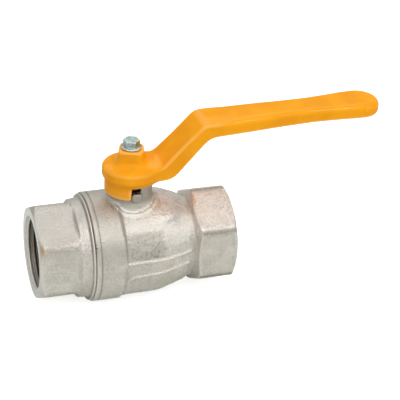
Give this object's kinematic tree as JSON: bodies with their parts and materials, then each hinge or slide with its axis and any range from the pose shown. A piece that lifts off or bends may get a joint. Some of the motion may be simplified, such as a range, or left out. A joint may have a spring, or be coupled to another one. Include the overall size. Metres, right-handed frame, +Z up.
{
  "type": "ball valve",
  "caption": "Ball valve for 1 inch pipe with female threaded hex ends, a stem neck and a cranked orange lever handle.",
  "frame": {"origin": "bottom centre of the bounding box: Z = 0 is the lowest line of the barrel, the pipe axis is 24.7 mm above it, and the stem axis is 35.6 mm towards -X", "axes": "+X along the pipe and towards the lever's tip when the valve is open, +Z up along the stem, +Y to the left of the lever"},
  "size_m": [0.16, 0.0494, 0.0871],
  "materials": {
    "nickel_plated_brass": "satin nickel plating over shot-blasted forging",
    "chrome_plated_brass": "polished chrome plating",
    "ptfe": "matte",
    "plain_brass": "machined",
    "nitrile": "matte",
    "orange_coating": "gloss epoxy powder coating over die-cast aluminium",
    "zinc_plated_steel": "zinc plated"
  },
  "bodies": {
    "housing": {"valve_body": "nickel_plated_brass", "end_adapter": "nickel_plated_brass", "seat_ring_left": "ptfe", "seat_ring_right": "ptfe"},
    "handle": {"lever_handle": "orange_coating", "handle_screw": "zinc_plated_steel", "stem": "plain_brass", "stem_thrust_washer": "ptfe", "stem_o_ring_lower": "nitrile", "stem_o_ring_upper": "nitrile"},
    "ball": {"ball": "chrome_plated_brass"}
  },
  "joints": [
    {"name": "handle_turn", "type": "hinge", "parent": "housing", "child": "handle", "pos_m": [-0.0356, 0, 0.0247], "axis": [0, 0, 1], "range_deg": [-90, 0]},
    {"name": "ball_turn", "type": "hinge", "parent": "housing", "child": "ball", "pos_m": [-0.0356, 0, 0.0247], "axis": [0, 0, 1], "range_deg": [-90, 0]}
  ],
  "couplings": [
    {"joint": "ball_turn", "follows": "handle_turn", "ratio": 1}
  ]
}
